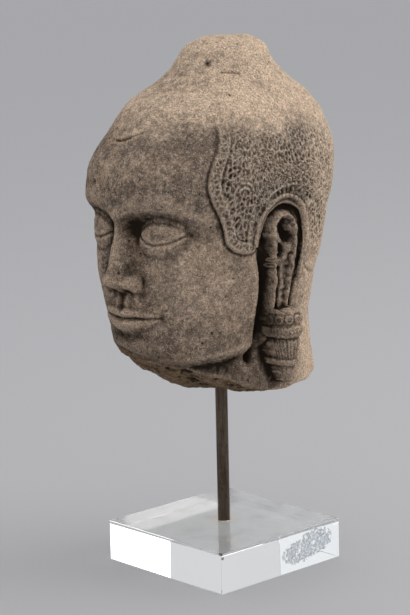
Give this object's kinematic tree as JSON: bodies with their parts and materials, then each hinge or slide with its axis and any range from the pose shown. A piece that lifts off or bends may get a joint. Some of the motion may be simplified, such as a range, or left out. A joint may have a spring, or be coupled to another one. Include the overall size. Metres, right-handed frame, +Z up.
{
  "type": "buddha head",
  "caption": "Worn carved stone head of a Buddha with long ear lobes and pendants, held up on a bronze rod above a square clear block.",
  "frame": {"origin": "centre of the clear block's underside", "axes": "+Z up along the rod, -Y the way the head looks, X and Y along the block's sides"},
  "size_m": [0.1643, 0.1959, 0.386],
  "materials": {
    "stone": "weathered coarse stone with a dark patina",
    "bronze": "dark patinated bronze",
    "acrylic": "clear polished acrylic"
  },
  "bodies": {
    "root": {"head": "stone", "rod": "bronze", "base_block": "acrylic"}
  },
  "joints": []
}
